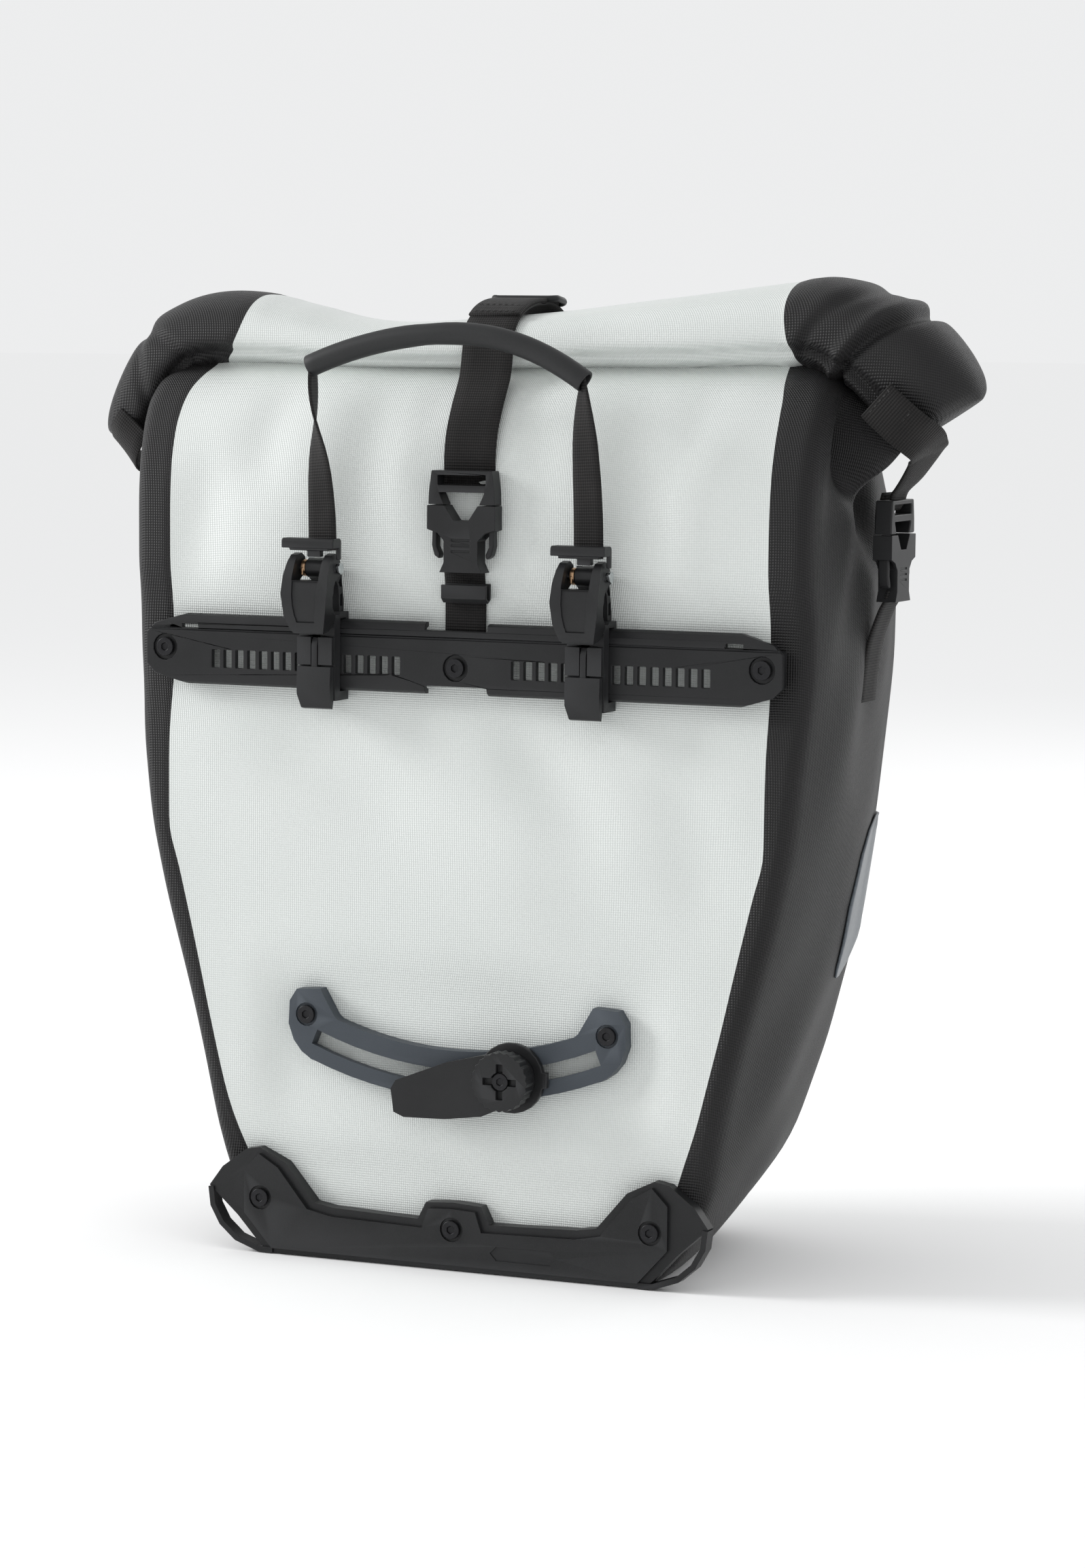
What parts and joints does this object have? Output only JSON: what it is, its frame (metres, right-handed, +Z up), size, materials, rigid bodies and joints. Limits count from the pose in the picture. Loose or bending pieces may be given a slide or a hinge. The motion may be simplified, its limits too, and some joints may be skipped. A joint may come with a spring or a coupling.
{
  "type": "bicycle pannier bag",
  "caption": "Roll-top bicycle pannier bag with sliding rack hooks that open with the handle, a sway hook on a curved rail and side-release buckles.",
  "frame": {"origin": "middle of the flat base that the bag stands on", "axes": "+Z up, +X along the mounting rail, -Y towards the bicycle rack"},
  "size_m": [0.4211, 0.187, 0.441],
  "materials": {
    "white_fabric": "coated polyester with a fine woven emboss, satin off-white",
    "black_fabric": "coated coarse-weave fabric, near black",
    "black_webbing": "ribbed polyamide webbing, black",
    "black_plastic": "fine-grained moulded nylon, black",
    "grey_plastic": "moulded nylon, slate grey",
    "stiffener_sheet": "smooth plastic sheet, grey",
    "grip_rubber": "smooth rubber sleeve, black",
    "black_screw": "blackened steel screw",
    "steel_pin": "bright plated steel",
    "spring_wire": "copper-coloured spring wire",
    "reflector_grey": "retroreflective patch, grey"
  },
  "bodies": {
    "bag": {"bag_shell": "white_fabric", "back_stiffener": "stiffener_sheet", "rail_backing_strip": "black_plastic", "lower_backing_strip": "black_plastic", "guard_backing_strip": "black_plastic", "inner_pocket": "black_fabric", "rail_screw_left": "black_screw", "rail_screw_middle": "black_screw", "rail_screw_right": "black_screw", "lower_screw_left": "black_screw", "lower_screw_right": "black_screw", "guard_screw_left": "black_screw", "guard_screw_middle": "black_screw", "guard_screw_right": "black_screw", "mounting_rail": "black_plastic", "lower_rail": "grey_plastic", "edge_guard": "black_plastic", "centre_short_strap": "black_webbing", "strap_keeper": "black_plastic", "side_strap_left": "black_webbing", "side_strap_right": "black_webbing", "centre_buckle_female": "black_plastic", "left_buckle_female": "black_plastic", "right_buckle_female": "black_plastic", "outer_strap": "black_webbing"},
    "roll": {"rolled_collar": "white_fabric", "closure_stiffener": "stiffener_sheet", "end_webbing_left": "black_webbing", "end_webbing_right": "black_webbing", "centre_strap": "black_webbing", "centre_buckle_male": "black_plastic", "left_buckle_male": "black_plastic", "right_buckle_male": "black_plastic"},
    "handle": {"handle_grip": "grip_rubber"},
    "slider": {"sway_slider": "black_plastic"},
    "sway_arm": {"sway_hook": "black_plastic"},
    "knob": {"sway_knob": "black_plastic", "knob_screw": "black_screw"},
    "hook_left": {"hook_body_left": "black_plastic", "hook_pin_left": "steel_pin", "latch_spring_left": "spring_wire"},
    "latch_left": {"hook_latch_left": "black_plastic"},
    "pull_left": {"pull_bar_left": "black_plastic"},
    "lever_left": {"lock_lever_left": "black_plastic"},
    "strap_left": {"handle_strap_left": "black_webbing"},
    "hook_right": {"hook_body_right": "black_plastic", "hook_pin_right": "steel_pin", "latch_spring_right": "spring_wire"},
    "latch_right": {"hook_latch_right": "black_plastic"},
    "pull_right": {"pull_bar_right": "black_plastic"},
    "lever_right": {"lock_lever_right": "black_plastic"},
    "strap_right": {"handle_strap_right": "black_webbing"},
    "centre_arm_a": {"centre_buckle_arm_a": "black_plastic"},
    "centre_arm_b": {"centre_buckle_arm_b": "black_plastic"},
    "left_arm_a": {"left_buckle_arm_a": "black_plastic"},
    "left_arm_b": {"left_buckle_arm_b": "black_plastic"},
    "right_arm_a": {"right_buckle_arm_a": "black_plastic"},
    "right_arm_b": {"right_buckle_arm_b": "black_plastic"}
  },
  "joints": [
    {"name": "handle_lift", "type": "slide", "parent": "bag", "child": "handle", "axis": [0, 0, 1], "range_m": [0, 0.006]},
    {"name": "hook_left_slide", "type": "slide", "parent": "bag", "child": "hook_left", "axis": [1, 0, 0], "range_m": [-0.025, 0.025]},
    {"name": "latch_left_open", "type": "hinge", "parent": "hook_left", "child": "latch_left", "pos_m": [-0.065, -0.0875, 0.3145], "axis": [-1, 0, 0], "range_deg": [0, 32]},
    {"name": "pull_left_lift", "type": "slide", "parent": "hook_left", "child": "pull_left", "axis": [0, 0, 1], "range_m": [0, 0.006]},
    {"name": "lever_left_flip", "type": "hinge", "parent": "hook_left", "child": "lever_left", "pos_m": [-0.065, -0.0856, 0.2814], "axis": [-1, 0, 0], "range_deg": [0, 75]},
    {"name": "strap_left_swing", "type": "hinge", "parent": "handle", "child": "strap_left", "pos_m": [-0.065, -0.092, 0.3949], "axis": [0, 1, 0], "range_deg": [-21.7, 21.7]},
    {"name": "hook_right_slide", "type": "slide", "parent": "bag", "child": "hook_right", "axis": [1, 0, 0], "range_m": [-0.025, 0.025]},
    {"name": "latch_right_open", "type": "hinge", "parent": "hook_right", "child": "latch_right", "pos_m": [0.065, -0.0875, 0.3145], "axis": [-1, 0, 0], "range_deg": [0, 32]},
    {"name": "pull_right_lift", "type": "slide", "parent": "hook_right", "child": "pull_right", "axis": [0, 0, 1], "range_m": [0, 0.006]},
    {"name": "lever_right_flip", "type": "hinge", "parent": "hook_right", "child": "lever_right", "pos_m": [0.065, -0.0856, 0.2814], "axis": [-1, 0, 0], "range_deg": [0, 75]},
    {"name": "strap_right_swing", "type": "hinge", "parent": "handle", "child": "strap_right", "pos_m": [0.065, -0.092, 0.3949], "axis": [0, 1, 0], "range_deg": [-21.7, 21.7]},
    {"name": "sway_slide", "type": "hinge", "parent": "bag", "child": "slider", "pos_m": [0, -0.077, 0.27], "axis": [0, 1, 0], "range_deg": [-9.4, 27.6]},
    {"name": "sway_swivel", "type": "hinge", "parent": "slider", "child": "sway_arm", "pos_m": [0.0288, -0.083, 0.08989], "axis": [0, 1, 0], "continuous": true},
    {"name": "knob_turn", "type": "hinge", "parent": "slider", "child": "knob", "pos_m": [0.0288, -0.089, 0.08989], "axis": [0, 1, 0], "range_deg": [0, 360]},
    {"name": "roll_lift", "type": "slide", "parent": "bag", "child": "roll", "axis": [0, 0, 1], "range_m": [0, 0.1], "deforming": ["outer_strap"]},
    {"name": "centre_arm_a_press", "type": "hinge", "parent": "roll", "child": "centre_arm_a", "pos_m": [-0.0094, -0.077, 0.3434], "axis": [0, -1, 0], "range_deg": [0, 6]},
    {"name": "centre_arm_b_press", "type": "hinge", "parent": "roll", "child": "centre_arm_b", "pos_m": [0.0154, -0.077, 0.3434], "axis": [0, 1, 0], "range_deg": [0, 6]},
    {"name": "left_arm_a_press", "type": "hinge", "parent": "roll", "child": "left_arm_a", "pos_m": [-0.177, 0.0124, 0.3324], "axis": [-1, 0, 0], "range_deg": [0, 6]},
    {"name": "left_arm_b_press", "type": "hinge", "parent": "roll", "child": "left_arm_b", "pos_m": [-0.177, -0.0124, 0.3324], "axis": [1, 0, 0], "range_deg": [0, 6]},
    {"name": "right_arm_a_press", "type": "hinge", "parent": "roll", "child": "right_arm_a", "pos_m": [0.177, -0.0124, 0.3324], "axis": [1, 0, 0], "range_deg": [0, 6]},
    {"name": "right_arm_b_press", "type": "hinge", "parent": "roll", "child": "right_arm_b", "pos_m": [0.177, 0.0124, 0.3324], "axis": [-1, 0, 0], "range_deg": [0, 6]}
  ],
  "couplings": [
    {"joint": "latch_left_open", "follows": "handle_lift", "rad_per_m": 93.084},
    {"joint": "pull_left_lift", "follows": "handle_lift", "ratio": 1},
    {"joint": "strap_left_swing", "follows": "hook_left_slide", "rad_per_m": -15.15},
    {"joint": "latch_right_open", "follows": "handle_lift", "rad_per_m": 93.084},
    {"joint": "pull_right_lift", "follows": "handle_lift", "ratio": 1},
    {"joint": "strap_right_swing", "follows": "hook_right_slide", "rad_per_m": -15.15},
    {"joint": "centre_arm_b_press", "follows": "centre_arm_a_press", "ratio": 1},
    {"joint": "left_arm_b_press", "follows": "left_arm_a_press", "ratio": 1},
    {"joint": "right_arm_b_press", "follows": "right_arm_a_press", "ratio": 1}
  ]
}
